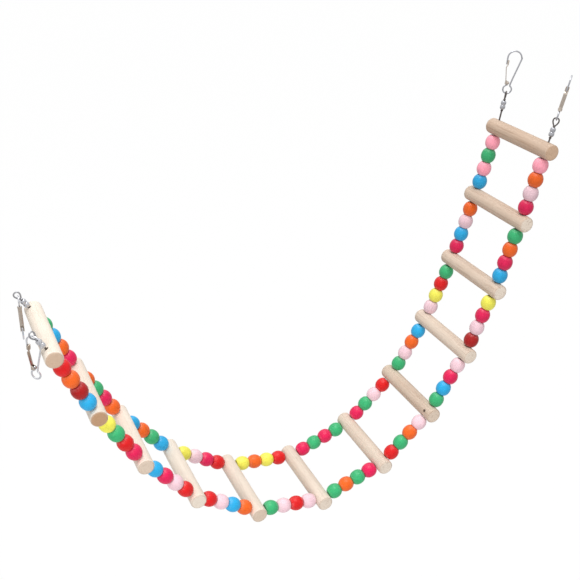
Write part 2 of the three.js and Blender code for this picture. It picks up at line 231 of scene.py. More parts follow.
class Shader:
    """A tree of shader nodes, with the node that closes it."""

    def __init__(self, tree, surface):
        self.tree = tree
        self.surface = tree.nodes[surface]

    def node(self, kind, inputs=(), **settings):
        """A node of that kind, with its settings made first and then its sockets given values or links."""
        node = self.tree.nodes.new(kind)
        for name, value in settings.items():
            setattr(node, name, value)
        for name, value in dict(inputs).items():
            self.feed(node.inputs[name], value)
        return node

    def feed(self, socket, value):
        if isinstance(value, Value):
            value = value.socket
        if isinstance(value, bpy.types.NodeSocket):
            self.tree.links.new(value, socket)
        elif hasattr(value, "__len__") and socket.type == "RGBA":
            socket.default_value = (*value[:3], 1.0)
        else:
            socket.default_value = value

    def math(self, name, *operands):
        return Value(self, self.node("ShaderNodeMath", enumerate(operands), operation=name).outputs[0])

    def place(self):
        """The point in the piece's own frame, in millimetres, kept in the mesh."""
        return self.node("ShaderNodeAttribute", attribute_name="place").outputs["Vector"]

    def mark(self, name):
        """A number that the mesh keeps at each of its points."""
        return Value(self, self.node("ShaderNodeAttribute", attribute_name=name).outputs["Fac"])

    def rays(self, name):
        """1 for rays of that kind, 0 for others."""
        return Value(self, self.node("ShaderNodeLightPath").outputs[name])

    def distance(self, point):
        node = self.node("ShaderNodeVectorMath", {0: self.place(), 1: point}, operation="DISTANCE")
        return Value(self, node.outputs["Value"])

    def noise(self, scale, detail=2.0, roughness=0.5, distortion=0.0):
        """Noise at the point in the piece's own frame, each of its coordinates times its own factor."""
        stretched = self.node("ShaderNodeVectorMath", {0: self.place(), 1: scale}, operation="MULTIPLY")
        node = self.node("ShaderNodeTexNoise", {
            "Vector": stretched.outputs[0], "Scale": 1.0, "Detail": detail, "Roughness": roughness,
            "Distortion": distortion,
        })
        return Value(self, node.outputs[0])

    def mixed(self, factor, first, second):
        return self.node("ShaderNodeMix", {0: factor, 6: first, 7: second}, data_type="RGBA").outputs[2]

    def bump(self, height, distance, strength):
        """Relief of that depth in millimetres."""
        inputs = {"Strength": strength, "Distance": distance * MM, "Height": height}
        self.set(normal=self.node("ShaderNodeBump", inputs).outputs[0])

    def set(self, **values):
        for name, value in values.items():
            self.feed(self.surface.inputs[name.replace("_", " ").title().replace("Ior", "IOR")], value)


def new_material(name):
    material = bpy.data.materials.new(name)
    material.use_nodes = True
    return material, Shader(material.node_tree, "Principled BSDF")


MATERIALS = {}


def kept(name, make, details):
    """The material of that name, made once."""
    if name not in MATERIALS:
        MATERIALS[name] = make(name, details)
    return MATERIALS[name]


def times(tint, share):
    return tuple(component * share for component in tint)


# How finely each pattern runs across the grain, along it and across it, in waves per millimetre
STREAK_SCALE = (0.55, 0.022, 0.55)
PORE_SCALE = (3.4, 0.16, 3.4)
PATCH_SCALE = (0.09, 0.03, 0.09)
PAINT_GRAIN_SCALE = (1.3, 0.16, 1.3)
BLOTCH_SCALE = (0.22, 0.22, 0.22)
TURNING_SCALE = (0.03, 2.2, 0.03)
SMUDGE_SCALE = (0.5, 0.5, 0.5)
DRAWN_SCALE = (7.0, 0.25, 7.0)

# Depth of the relief in wood and in paint, in millimetres
WOOD_RELIEF = 0.12
PAINT_RELIEF = 0.14

BLACK = (0.0, 0.0, 0.0)
WHITE = (1.0, 1.0, 1.0)


def wood_material(name, colours):
    """Sanded bare wood: growth streaks along the rung, fine pores, and a tone from cream to tan, which also
    carries painted shade that darkens the rungs towards the upper end.
    """
    material, shader = new_material(name)
    streaks = shader.noise(STREAK_SCALE, 5.0, 0.62, 0.6)
    pores = shader.noise(PORE_SCALE, 3.0, 0.6)
    patches = shader.noise(PATCH_SCALE)
    tone = shader.mark("tone")
    sawn = shader.mark("sawn")
    # Cream to tan by the rung's own tone and painted shade, darker towards the upper end
    base = shader.mixed(tone + (patches - 0.5) * 0.3, colours.pale_wood, colours.tan_wood)
    end = shader.mixed(shader.mark("end_tone"), colours.pale_wood, colours.end_grain)
    base = shader.mixed(sawn, base, end)
    grain = streaks.between(0.48, 0.72) * (tone * 0.4 + 0.1)
    grain = grain + pores.between(0.56, 0.78) * (tone * 0.25 + 0.06)
    grain = grain + sawn * pores.between(0.5, 0.7) * 0.25 + sawn * (1 - sawn) * 1.2
    base = shader.mixed(grain, base, colours.wood_grain)
    from_knot = shader.distance(np.array(KNOT_PLACE) + RUNG_SHIFT * (KNOT_RUNG - 1))
    knot = from_knot.between(KNOT_RADIUS, KNOT_RADIUS / 2)
    shader.set(
        base_color=shader.mixed(knot, base, times(colours.wood_grain, 0.2)),
        roughness=0.58 + pores * 0.2,
    )
    shader.bump(streaks * 0.5 + pores * 0.5, WOOD_RELIEF, 0.5)
    return material


def paint_material(name, paint):
    """Satin paint over turned wood, with its grain showing, paler near the rims and darker at them as painted
    shade where the beads meet. The mesh's tone grows from the crown to the rims, and its painted shade
    darkens the whole bead, the more the nearer it hangs to the upper end."""
    material, shader = new_material(name)
    grain = shader.noise(PAINT_GRAIN_SCALE, 4.0, 0.6)
    blotch = shader.noise(BLOTCH_SCALE)
    turning = shader.noise(TURNING_SCALE, 2.0, 0.6)
    rim = shader.mark("tone")
    paler = tuple(component + (1 - component) * 0.22 for component in paint)
    deep = blotch.between(0.35, 0.7) * 0.25 + grain.between(0.52, 0.68) * 0.45
    base = shader.mixed(deep, paint, times(paint, 0.66))
    base = shader.mixed(rim.between(0.5, 0.85) * grain.between(0.45, 0.6) * 0.35, base, paler)
    # Painted shade at the rims, where the beads meet each other and the rungs
    base = shader.mixed(rim.between(0.9, 0.99) * 0.7, base, times(paint, 0.4))
    # The paint darkened over the whole bead by its painted shade
    shader.set(
        base_color=shader.mixed(shader.mark("dim"), base, BLACK),
        roughness=0.36 + grain * 0.16,
        specular_ior_level=0.35,
        coat_weight=0.06 + blotch * 0.1,
        coat_roughness=0.25,
    )
    shader.bump(grain * 0.6 + turning * 0.4, PAINT_RELIEF, 0.6)
    return material


# Each steel: the lighter colour that its pieces at the left end are mixed towards as painted light, its
# roughness, how much it is smudged, and the depth of its drawn lines
STEELS = {
    "dark_steel": ("bright_steel", 0.3, 0.6, 0.02),
    "bright_steel": ("polished_steel", 0.14, 0.3, 0.01),
    "sheet_steel": ("sheet_steel", 0.26, 0.4, 0.03),
}


def steel_material(name, colours):
    """Handled metal with lines drawn along the piece. The mesh's tone says how far its colour goes to the
    lighter one: painted light, which makes the pieces at the left end lighter."""
    material, shader = new_material(name)
    brighter, roughness, smudge, drawn = STEELS[name]
    finish = tuple(getattr(colours, name))
    smudges = shader.noise(SMUDGE_SCALE, 4.0, 0.6)
    base = shader.mixed(shader.mark("tone"), finish, getattr(colours, brighter))
    shader.set(
        metallic=1.0,
        base_color=shader.mixed(smudges.between(0.5, 0.8) * smudge, base, times(finish, 0.55)),
        roughness=roughness + smudges * 0.12,
    )
    shader.bump(shader.noise(DRAWN_SCALE), drawn, 0.4)
    return material


# Shapes: each is a grid of points and the quads between them, in millimetres


def grid(points, wrap_rows=False):
    """Points on rows and columns with a quad between each four neighbours. Each row closes into a ring."""
    rows, columns = points.shape[:2]
    row = np.arange(rows if wrap_rows else rows - 1)[:, None]
    column = np.arange(columns)
    low, high, beside = row * columns, (row + 1) % rows * columns, (column + 1) % columns
    corners = (low + column, high + column, high + beside, low + beside)
    return points.reshape(-1, 3), np.stack(corners, -1).reshape(-1, 4)


def joined(*shapes):
    """Several shapes as one."""
    starts = np.cumsum([0] + [len(points) for points, _ in shapes])
    faces = np.concatenate([quads + start for (_, quads), start in zip(shapes, starts)])
    return np.concatenate([points for points, _ in shapes]), faces


def revolved(profile, sides, closed=False):
    """A profile of radius r and height h turned about Y: (r cos t, h, r sin t) over a full turn t."""
    radius, height = np.array(profile, float).T[..., None]
    cos, sin = circle_outline(sides).T
    return grid(np.stack([radius * cos, height + 0 * cos, radius * sin], -1), wrap_rows=closed)


def unit(vectors):
    return vectors / np.linalg.norm(vectors, axis=-1, keepdims=True)


def circle_outline(sides):
    turn = np.linspace(0, 2 * np.pi, sides, endpoint=False)
    return np.stack([np.cos(turn), np.sin(turn)], -1)


def plate_outline(width, thickness, rounding):
    """A rectangle with rounded corners: each corner's centre plus a quarter circle."""
    quarter = np.linspace(0, np.pi / 2, 3)
    turns = np.concatenate([quarter + corner * np.pi / 2 for corner in range(4)])
    reach = (width / 2 - rounding, thickness / 2 - rounding)
    centres = np.repeat([(1, 1), (-1, 1), (-1, -1), (1, -1)], 3, axis=0) * reach
    return centres + rounding * np.stack([np.cos(turns), np.sin(turns)], -1)


# Rings of points in the dome at a bar's end
DOME_STEPS = 6


def carried(path, reference, outline, rounded=0.0):
    """An outline carried along a path: path + u side + v up, where side is the reference made square to the
    path and up is square to both. Each end is closed, and domed where rounded gives the dome's radius."""
    path = np.array(path, float)
    tangent = unit(np.gradient(path, axis=0))
    tangent[0], tangent[-1] = unit(path[1] - path[0]), unit(path[-1] - path[-2])
    side = unit(reference - np.sum(reference * tangent, -1, keepdims=True) * tangent)
    dome = np.linspace(0, np.pi / 2, DOME_STEPS)[1:] if rounded else np.array([np.pi / 2])
    reach, shrink = rounded * np.sin(dome)[:, None], np.cos(dome)
    scale = np.concatenate([shrink[::-1], np.ones(len(path)), shrink])[:, None, None]
    path = np.concatenate([path[0] - (reach * tangent[0])[::-1], path, path[-1] + reach * tangent[-1]])
    ends = [(len(dome), len(dome)), (0, 0)]
    side, up = np.pad(side, ends, mode="edge"), np.pad(np.cross(tangent, side), ends, mode="edge")
    across = outline[:, :1] * side[:, None] + outline[:, 1:] * up[:, None]
    return grid(path[:, None] + scale * across)


# The share of a side that a bend at one of its ends may take
CORNER_SHARE = 0.48


def bends(before, corner, after, reach, steps):
    """At each corner the parabola between the points a reach before and after it."""
    start, end = corner + unit(before - corner) * reach, corner + unit(after - corner) * reach
    t = np.linspace(0, 1, steps)[:, None, None]
    curve = (1 - t) ** 2 * start + 2 * t * (1 - t) * corner + t**2 * end
    return curve.transpose(1, 0, 2).reshape(-1, corner.shape[1])


def rounded_path(corners, radius):
    """A path through corners, each of them bent."""
    corners = np.array(corners, float)
    before, corner, after = corners[:-2], corners[1:-1], corners[2:]
    shorter = np.minimum(np.linalg.norm(corner - before, axis=-1), np.linalg.norm(after - corner, axis=-1))
    reach = np.minimum(radius, shorter * CORNER_SHARE)[:, None]
    return np.concatenate([corners[:1], bends(before, corner, after, reach, 6), corners[-1:]])


def turned_about(vector, axis, degrees):
    """The vector turned about a unit axis."""
    angle = math.radians(degrees)
    return (
        vector * math.cos(angle)
        + np.cross(axis, vector) * math.sin(angle)
        + axis * np.dot(axis, vector) * (1 - math.cos(angle))
    )


# The hang: slope of each gap, and centre of each rung


def direction_of(slope):
    """Unit direction down the ladder in a gap of that slope."""
    return np.array([-math.cos(slope), 0, math.sin(slope)])


SLOPES = [END_SLOPE * math.tanh((gap + 0.5 - LOWEST_GAP) / SLOPE_SPREAD) for gap in range(GAP_COUNT)]


def pitch(sizes):
    return sizes.rung_diameter + BEADS_PER_GAP * sizes.bead_length + 2 * SEAT_GAP


def rung_centres(sizes):
    steps = np.array([direction_of(slope) for slope in SLOPES]) * pitch(sizes)
    return np.concatenate([np.zeros((1, 3)), np.cumsum(steps, axis=0)])


def end_slope(end):
    """Slope of the stem at a wire end, in radians."""
    return math.radians(end["slope"]) if "slope" in end else SLOPES[0]


def wire_offset(side):
    """From a rung's middle to the wire on that side."""
    return Y_AXIS * SIDES[side] * WIRE_SPACING / 2


def stem_frame(name, sizes):
    """Where a stem leaves its rung's middle, its outward direction, and how far out the barrel starts."""
    end = WIRE_ENDS[name]
    right = name.endswith("right")
    centre = rung_centres(sizes)[0 if right else -1] + wire_offset(end["side"])
    outward = direction_of(end_slope(end)) * (-1 if right else 1)
    return centre, outward, sizes.rung_diameter / 2 + end["stem"]


def body_of_gap(gap):
    return f"section_{gap + 1:02d}"


def end_body(name):
    return body_of_gap(0 if name.endswith("right") else GAP_COUNT - 1)


# Pieces

# Points of a mesh nearer than this become one
MERGE = 0.002 * MM


class Builder:
    """What the operators share: build gets the sizes in millimetres and the colours."""

    def execute(self, context):
        group = context.scene.ladder_sizes
        sizes = SimpleNamespace(**{name: getattr(group, name) / MM for name in type(group).__annotations__})
        self.build(sizes, context.scene.ladder_colours)
        return {"FINISHED"}


def basis(first, second):
    """Axes of a piece's own frame, as columns: two square unit vectors and their cross product."""
    return np.stack([first, second, np.cross(first, second)], -1)


def add_object(name, data):
    thing = bpy.data.objects.new(name, data)
    bpy.context.scene.collection.objects.link(thing)
    return thing


def add_piece(name, shape, axes, origin, body, material, slot, nodes, shift=0.0, sharp=35, **marks):
    """A piece from a shape in its own frame: merged, closed, facing outwards, and riding on its body. Each
    mark is a number, or one for each point, that its material reads."""
    points, faces = shape
    placed = (points @ axes.T + origin) * MM
    mesh = bpy.data.meshes.new(name)
    mesh.from_pydata(placed, [], faces.tolist())
    place = mesh.attributes.new("place", "FLOAT_VECTOR", "POINT")
    place.data.foreach_set("vector", (points + shift).astype(np.float32).ravel())
    for attribute, values in marks.items():
        layer = mesh.attributes.new(attribute, "FLOAT", "POINT")
        layer.data.foreach_set("value", np.broadcast_to(values, len(points)).astype(np.float32))
    work = bmesh.new()
    work.from_mesh(mesh)
    bmesh.ops.remove_doubles(work, verts=work.verts, dist=MERGE)
    bmesh.ops.recalc_face_normals(work, faces=work.faces)
    work.to_mesh(mesh)
    work.free()
    mesh.polygons.foreach_set("use_smooth", np.ones(len(mesh.polygons), bool))
    mesh.set_sharp_from_angle(angle=math.radians(sharp))
    mesh.materials.append(material)
    piece = add_object(name, mesh)
    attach(piece, body)
    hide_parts(*nodes)


# Rungs

# Columns round a rung, steps from a hole to the edge of the square round it, rows between the two holes,
# rings of points in a hole, and the inner ring of an end face, as a share of the rung's radius
RUNG_COLUMNS = 48
PATCH_STEPS = 5
MIDDLE_ROWS = 15
HOLE_RINGS = 15
END_RING = 0.4

# Each ring of points round a hole: how far it is from the hole to the square
PATCH_SPREAD = (1, 0.7, 0.42, 0.2, 0.06, 0)


def rung_shape(sizes, mouth, throat):
    """A dowel about Y, (R cos a, y, R sin a), with rounded ends, crossed along Z by two holes. Round a hole
    the surface runs straight from a circle to a square of the grid, and the hole's wall is a circle of radius
    throat + (mouth - throat) |q|^1.5 for q from 1 at one mouth to -1 at the other."""
    radius, half, rounding = sizes.rung_diameter / 2, sizes.rung_length / 2, sizes.rung_round
    step = 2 * math.pi * radius / RUNG_COLUMNS
    patch = PATCH_STEPS * step
    offset = WIRE_SPACING / 2
    turn = np.linspace(0, np.pi / 2, 7)
    edge = (radius - rounding, half - rounding) + rounding * np.stack([np.cos(turn), np.sin(turn)], -1)
    end = np.concatenate([edge, [[radius * END_RING, half], [0.0, half]]])
    window = np.linspace(-patch, patch, 2 * PATCH_STEPS + 1)
    between = np.linspace(patch - offset, offset - patch, MIDDLE_ROWS)[1:-1]
    height = np.concatenate([window - offset, between, window + offset])
    middle = np.stack([np.full(len(height), radius), height], -1)
    points, faces = revolved(np.concatenate([(end * (1, -1))[::-1], middle, end]), RUNG_COLUMNS)
    in_rows = np.abs(np.abs(points[faces, 1].mean(axis=1)) - offset) < patch
    from_mouth = (faces[:, 0] % RUNG_COLUMNS + 0.5 - RUNG_COLUMNS / 4) % (RUNG_COLUMNS / 2)
    in_columns = np.minimum(from_mouth, RUNG_COLUMNS / 2 - from_mouth) < PATCH_STEPS
    dowel = points, faces[~(in_rows & in_columns)]

    run = np.arange(-PATCH_STEPS, PATCH_STEPS)
    edge = np.full(2 * PATCH_STEPS, PATCH_STEPS)
    sides = ((edge, run), (-run, edge), (-edge, -run), (run, -edge))
    square = np.concatenate([np.stack(side, -1) for side in sides]) * step
    away = unit(square)
    circle = mouth * away
    rim = np.stack([radius * np.arcsin(circle[:, 0] / radius), circle[:, 1]], -1)
    spread = np.array(PATCH_SPREAD)[:, None, None]
    unrolled = rim * (1 - spread) + square * spread
    around, height = unrolled[..., 0] / radius, unrolled[..., 1]
    outside = np.stack([radius * np.sin(around), height, radius * np.cos(around)], -1)
    q = np.linspace(1, -1, HOLE_RINGS)[1:-1, None]
    wall = throat + (mouth - throat) * np.abs(q) ** 1.5
    depth = np.sqrt(radius**2 - circle[:, 0] ** 2)
    inside = np.stack([wall * away[:, 0], wall * away[:, 1], q * depth], -1)
    hole = np.concatenate([outside, inside, outside[::-1] * (1, 1, -1)])
    return joined(dowel, *(grid(hole + wire_offset(side)) for side in SIDES))


class LADDER_OT_rungs(Builder, bpy.types.Operator):
    """Turned wooden rungs with two cross holes each"""

    bl_idname = "ladder.rungs"
    bl_label = "Rungs"

    def build(self, sizes, colours):
        material = kept("pale_wood", wood_material, colours)
        middle_shape = rung_shape(sizes, sizes.hole_mouth, sizes.hole_throat)
        end_shape = rung_shape(sizes, sizes.end_hole_mouth, sizes.end_hole_throat)
        slopes = [end_slope(WIRE_ENDS["near_right"]), *SLOPES, end_slope(WIRE_ENDS["near_left"])]
        for k, centre in enumerate(rung_centres(sizes)):
            along = direction_of((slopes[k] + slopes[k + 1]) / 2)
            axes = basis(np.cross(Y_AXIS, along), Y_AXIS)
            name = f"rung_{k + 1:02d}"
            shape = end_shape if k in (0, RUNG_COUNT - 1) else middle_shape
            out = np.abs(shape[0][:, 1]) - (sizes.rung_length / 2 - sizes.rung_round)
            sawn = np.clip(out / sizes.rung_round * 2 - 1, 0, 1)
            # The tone is the rung's own and painted shade, darker towards the upper end
            add_piece(
                name + "_wood", shape, axes, centre, body_of_gap(max(k - 1, 0)), material, "pale_wood",
                [name], RUNG_SHIFT * k, 50, tone=RUNG_TONES_AND_SHADE[k], sawn=sawn, end_tone=END_TONES[k],
            )


# Beads

# Painted shade: how much darker the paint is in the first gap, at the upper end, and how much less so from
# gap to gap
FIRST_GAP_SHADE = 0.24
GAP_SHADE_STEP = 0.055

# Columns round a bead, rows between its rims, the share of its length that they span, and its rim's width
BEAD_COLUMNS = 40
BEAD_ROWS = 19
BEAD_SPAN = 0.93
BEAD_RIM = 0.35

# How much wider than the bore its mouth is, and how deep in the bead
BEAD_MOUTH = ((0.35, 0.0), (0.1, 0.12), (0.0, 0.4))

# The most by which a bead is slimmer than the others, and by which its shoulders are squarer
SLIMMEST = 0.02
SQUAREST = 0.05


def bead_profile(sizes):
    """Half a meridian of a bead: an ellipse of the crown's radius, cut off by a flat face at each end, and a
    bore that widens at its mouths. The ellipse's half length is half the bead's length divided by the square
    root of 1 - (face / crown) squared."""
    crown = sizes.bead_diameter / 2
    half = sizes.bead_length / 2
    face = sizes.bead_face / 2
    bore = sizes.bead_bore / 2
    reach = half / math.sqrt(1 - (face / crown) ** 2)
    height = half * np.sin(np.linspace(-1, 1, BEAD_ROWS) * math.pi / 2 * BEAD_SPAN)
    radius = crown * np.sqrt(1 - (height / reach) ** 2)
    rim = [[face - BEAD_RIM * 0.2, half - BEAD_RIM * 0.12], [face - BEAD_RIM, half]]
    mouth = [[bore + wider, half - depth] for wider, depth in BEAD_MOUTH]
    end = np.array(rim + mouth)
    return np.concatenate([np.stack([radius, height], -1), end, (end * (1, -1))[::-1]])


class LADDER_OT_beads(Builder, bpy.types.Operator):
    """Painted wooden beads, four on each wire between every two rungs"""

    bl_idname = "ladder.beads"
    bl_label = "Beads"

    def build(self, sizes, colours):
        random = np.random.default_rng(12)
        half = sizes.bead_length / 2
        points, faces = revolved(bead_profile(sizes), BEAD_COLUMNS, closed=True)
        waist = 1 - (points[:, 1] / half) ** 2
        outer = np.hypot(points[:, 0], points[:, 2]) > sizes.bead_face / 2 - BEAD_RIM
        centres = rung_centres(sizes)
        for side in SIDES:
            for gap, paints in enumerate(BEAD_PAINTS[side].split(", ")):
                along = direction_of(SLOPES[gap])
                middle = (centres[gap] + centres[gap + 1]) / 2 + wire_offset(side)
                # Painted shade: beads in the upper gaps darkened, less so gap by gap
                dim = max(FIRST_GAP_SHADE - GAP_SHADE_STEP * gap, 0.0)
                place = f"{side}_{gap + 1:02d}"
                for k, paint in enumerate(paints.split()):
                    slimmer = 1 - SLIMMEST * random.random()
                    squarer = SQUAREST * random.random()
                    fuller = np.where(outer, slimmer + squarer * waist * (1 - waist), 1.0)
                    shape = points * np.stack([fuller, np.ones(len(points)), fuller], -1), faces
                    axes = basis(turned_about(Y_AXIS, along, random.random() * 360), along)
                    origin = middle + along * (k + 0.5 - BEADS_PER_GAP / 2) * sizes.bead_length
                    material = kept("paint_" + paint, paint_material, tuple(getattr(colours, paint)))
                    add_piece(
                        f"bead_{place}_{k + 1}", shape, axes, origin, "string_" + place, material,
                        "paint_" + paint.split("_")[-1], ["beads_" + place], random.random(3) * 90, 40,
                        tone=np.abs(points[:, 1]) / half, dim=0.0 if paint == "deep_pink" else dim,
                    )


# Side wires

# The head on a wire's end, and the barrel's mouth and wall round it
HEAD_RADIUS = 1.1
HEAD_LENGTH = 0.8
HEAD_EDGE = 0.12
BARREL_LIP = 0.8
BARREL_WALL = 0.3

# How far a wire in a gap starts from the rung
WIRE_CLEARANCE = 0.1

# The wire wound round a long stem, and how far it is pressed into the stem
WRAP_WIRE = 0.42
WRAP_TURNS = 3
WRAP_LENGTH = 1.5
WRAP_PRESS = 0.03


def straight_wire(radius, start, end):
    """A round bar along Y from start to end with domed ends."""
    path = np.linspace(start, end, 9)[:, None] * Y_AXIS
    return carried(path, np.array([1.0, 0, 0]), circle_outline(20) * radius, radius)


def stem_shape(sizes, name):
    """The wire's end along Y, from the rung's middle to a head inside the barrel. A long stem has a fine wire
    wound round it, as a helix."""
    radius = sizes.wire_diameter / 2
    stem = WIRE_ENDS[name]["stem"]
    start = sizes.rung_diameter / 2 + stem
    chamber = start + BARREL_LIP + BARREL_WALL
    top = chamber + HEAD_LENGTH
    edge = HEAD_EDGE
    profile = [
        [0, -radius], [radius * 0.7, -radius * 0.7], [radius, 0], [radius, chamber],
        [HEAD_RADIUS - edge, chamber], [HEAD_RADIUS, chamber + edge], [HEAD_RADIUS, top - edge],
        [HEAD_RADIUS - edge, top], [0, top],
    ]
    wire = revolved(profile, 24)
    if stem < 2 * WRAP_LENGTH:
        return wire
    turn = np.linspace(0, 2 * math.pi * WRAP_TURNS, 24 * WRAP_TURNS)
    away = np.stack([np.cos(turn), 0 * turn, np.sin(turn)], -1)
    height = start - SEAT_GAP - WRAP_WIRE / 2 - (WRAP_LENGTH - WRAP_WIRE) * turn / turn[-1]
    path = away * (radius + WRAP_WIRE / 2 - WRAP_PRESS) + height[:, None] * Y_AXIS
    return joined(wire, carried(path, away, circle_outline(10) * WRAP_WIRE / 2, WRAP_WIRE / 2))


class LADDER_OT_side_wires(Builder, bpy.types.Operator):
    """Two dark steel wires: a length in each gap that ends in the rung below it, a short one inside the rung
    above it, which rides that rung, and a stem at each end"""

    bl_idname = "ladder.side_wires"
    bl_label = "Side wires"

    def build(self, sizes, colours):
        material = kept("dark_steel", steel_material, colours)
        centres = rung_centres(sizes)
        radius = sizes.wire_diameter / 2
        surface = sizes.rung_diameter / 2
        for side in SIDES:
            for gap in range(GAP_COUNT):
                axes = basis(Y_AXIS, direction_of(SLOPES[gap]))
                origin = centres[gap] + wire_offset(side)
                place = f"{side}_{gap + 1:02d}"
                outside = surface + WIRE_CLEARANCE + radius if gap else 0
                lengths = [("wire_" + place, outside, pitch(sizes), gap)]
                if gap:
                    lengths.append(("rung_wire_" + place, 0, surface - radius, gap - 1))
                for name, start, end, body in lengths:
                    add_piece(
                        name, straight_wire(radius, start, end), axes, origin, body_of_gap(body), material,
                        "dark_steel", [f"side_wire_{side}"], gap * 7,
                    )
        for name, end in WIRE_ENDS.items():
            origin, outward, _ = stem_frame(name, sizes)
            add_piece(
                f"stem_{name}", stem_shape(sizes, name), basis(Y_AXIS, outward), origin, end_body(name),
                material, "dark_steel", [f"side_wire_{end['side']}"],
            )


# Barrels of the swivels

BARREL_END = 2.6
BARREL_WAIST = 3.2
LOBE_POWER = 0.55
SHANK_HOLE = 0.85
UPPER_CHAMBER_WALL = 0.65
LOWER_CHAMBER_WALL = 0.45


def barrel_shape(sizes):
    """A two-lobed shell about Y, of outer radius waist + (lobe - waist) |sin|^0.55 along its length, less
    near the mouths, with a chamber in each lobe."""
    lobe, waist = sizes.barrel_diameter / 2, BARREL_WAIST / 2
    length_ = sizes.barrel_length
    along = np.linspace(0, 1, 41)
    lobes = np.abs(np.sin(2 * np.pi * along)) ** LOBE_POWER
    floor = np.where((along < 0.25) | (along > 0.75), BARREL_END / 2, waist)
    outer = np.stack([floor + (lobe - floor) * lobes, along * length_], -1)
    wire_hole = sizes.wire_diameter / 2 + HOLE_GAP
    upper, lower = lobe - UPPER_CHAMBER_WALL, lobe - LOWER_CHAMBER_WALL
    inner = [
        [SHANK_HOLE, length_], [SHANK_HOLE, length_ - BARREL_LIP],
        [upper, length_ - BARREL_LIP - BARREL_WALL], [upper, length_ / 2 + BARREL_LIP],
        [waist - BARREL_WALL, length_ / 2], [lower, length_ / 2 - BARREL_LIP],
        [lower, BARREL_LIP + BARREL_WALL], [wire_hole, BARREL_LIP], [wire_hole, 0],
    ]
    return revolved(np.concatenate([outer, inner]), 36, closed=True)


class LADDER_OT_barrels(Builder, bpy.types.Operator):
    """Bright two-lobed barrel of the swivel at each wire end"""

    bl_idname = "ladder.barrels"
    bl_label = "Swivel barrels"

    def build(self, sizes, colours):
        material = kept("bright_steel", steel_material, colours)
        shape = barrel_shape(sizes)
        for name in WIRE_ENDS:
            centre, outward, start = stem_frame(name, sizes)
            # Painted light: the barrels at the left end are mixed towards lighter steel
            add_piece(
                f"swivel_barrel_{name}", shape, basis(Y_AXIS, outward), centre + outward * start,
                end_body(name), material, "bright_steel", [f"barrel_{name}"], sharp=50,
                tone=0.0 if name.endswith("right") else 0.4,
            )


# Rings

RING_LENGTH = 7.9
RING_WIDTH = 5.4
RING_SHANK = 1.1
RING_HEAD = 2.0
RING_HEAD_EDGE = 0.15
RING_COLLAR = 2.1
RING_COLLAR_LENGTH = 1.1
COLLAR_EDGE = 0.2
COLLAR_SHOULDER = (0.25, 0.3)

# Turn, in radians, at which the pear's wire starts from its foot
RING_OPENING = 0.3

# How much lower than the ring's wire a hook hangs at the left end
HANG_GAP = 0.6

# The most that sin t sin(t/2) comes to
PEAR_WIDEST = 0.7698
LINK_STEP = 0.05


def pear_sizes(sizes):
    """Foot height, length and width factor of the pear that the ring's wire follows."""
    wire = sizes.ring_wire
    foot = SEAT_GAP + wire / 2
    return foot, RING_LENGTH - wire / 2 - foot, (RING_WIDTH - wire) / 2 / PEAR_WIDEST


def pear_points(sizes, turn):
    """The pear (width sin t sin(t/2), foot + length (1 - cos t) / 2) in the XY plane, at turns t."""
    foot, length_, width = pear_sizes(sizes)
    return np.stack([
        width * np.sin(turn) * np.sin(turn / 2), foot + length_ * (1 - np.cos(turn)) / 2, 0 * turn
    ], -1)


def ring_shape(sizes):
    """The pear's wire, and a shank with a collar under the pear and a head inside the barrel."""
    wire = sizes.ring_wire
    path = pear_points(sizes, np.linspace(RING_OPENING, 2 * np.pi - RING_OPENING, 73))
    pear = carried(path, Z_AXIS, circle_outline(18) * wire / 2, wire / 4)
    bottom = -BARREL_LIP - BARREL_WALL - HOLE_GAP - HEAD_LENGTH
    edge = RING_HEAD_EDGE
    shoulder_width, shoulder_height = COLLAR_SHOULDER
    collar, top = RING_COLLAR / 2, SEAT_GAP + RING_COLLAR_LENGTH
    shank = revolved([
        [0, bottom], [RING_HEAD / 2 - edge, bottom], [RING_HEAD / 2, bottom + edge],
        [RING_HEAD / 2, bottom + HEAD_LENGTH], [RING_SHANK / 2, bottom + HEAD_LENGTH],
        [RING_SHANK / 2, SEAT_GAP], [collar - COLLAR_EDGE, SEAT_GAP], [collar, SEAT_GAP + COLLAR_EDGE],
        [collar, top - shoulder_height], [collar - shoulder_width, top], [0, top],
    ], 24)
    return joined(pear, shank)


def link_seat(sizes, start, step, reach):
    """Height on the pear's middle line where the hook's wire clears the ring's wire, stepping from start."""
    pear = pear_points(sizes, np.linspace(0, np.pi, 158))
    height = start + step
    while np.linalg.norm(pear - (0, height, 0), axis=1).min() < reach:
        height += step
    return height


def snap_frame(name, sizes):
    """Neck of the ring, its outward direction, and the hook's axes and origin."""
    end = WIRE_ENDS[name]
    centre, outward, start = stem_frame(name, sizes)
    neck = centre + outward * (start + sizes.barrel_length)
    reach = (sizes.ring_wire + sizes.hook_wire) / 2 + SEAT_GAP
    foot, length_, _ = pear_sizes(sizes)
    loop, bow, height = hook_radii(sizes)
    held = -loop
    if name.endswith("right"):
        seat = link_seat(sizes, foot + length_, -LINK_STEP, reach)
        width, along = turned_about(Y_AXIS, outward, end["turn"]), outward
    else:
        seat = link_seat(sizes, foot, LINK_STEP, reach) + HANG_GAP
        facing = math.radians(end["facing"])
        width = np.array([math.cos(facing), math.sin(facing), 0.0])
        along = turned_about(-Z_AXIS, width, end["lean"])
        normal = np.cross(width, along)
        width, along = (turned_about(vector, normal, end["swing"]) for vector in (width, along))
        if end["hangs_by"] == "bow":
            along = -along
            held = height + bow
    return neck, outward, basis(width, along), neck + outward * seat - along * held


